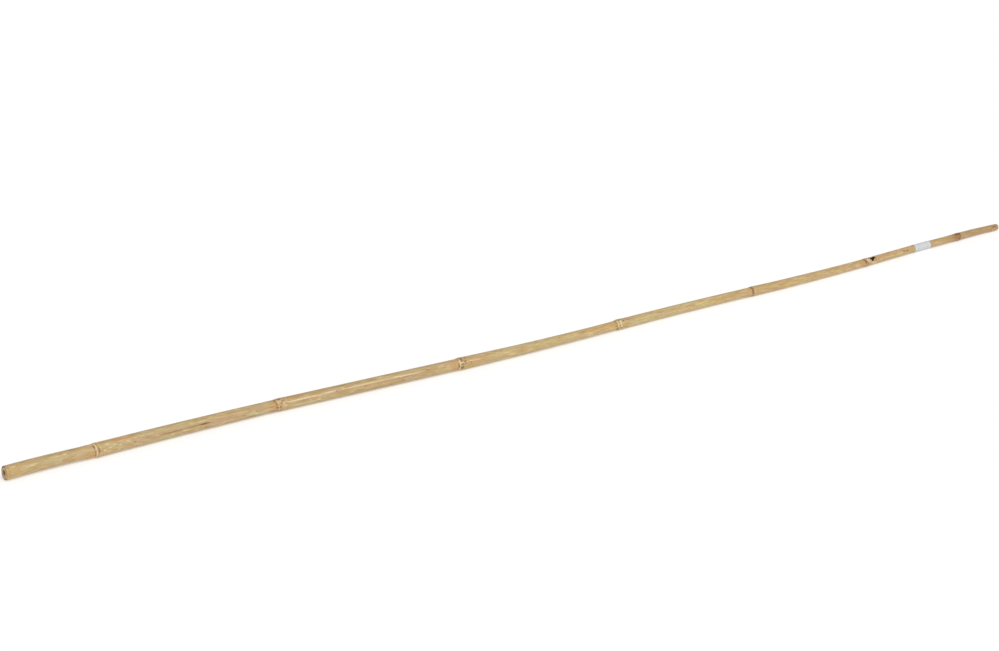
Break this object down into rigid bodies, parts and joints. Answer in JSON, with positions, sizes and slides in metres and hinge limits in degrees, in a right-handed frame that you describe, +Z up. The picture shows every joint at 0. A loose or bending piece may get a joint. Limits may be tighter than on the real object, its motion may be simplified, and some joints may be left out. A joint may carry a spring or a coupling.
{
  "type": "bamboo cane",
  "caption": "Straight, slightly wandering garden cane of one bamboo culm, sawn square at both ends, lying down, with a blank paper band near its thin end.",
  "frame": {"origin": "on the ground under the middle of the cane's bounding box", "axes": "+X along the cane from its thick root end to its thin end, +Z up, +Y to the side"},
  "size_m": [1.5, 0.029, 0.0154],
  "materials": {
    "bamboo": "dried golden skin, satin, with fine lengthwise fibres",
    "paper": "uncoated off-white, blank"
  },
  "bodies": {
    "root": {"bamboo_cane": "bamboo", "paper_band": "paper"}
  },
  "joints": []
}
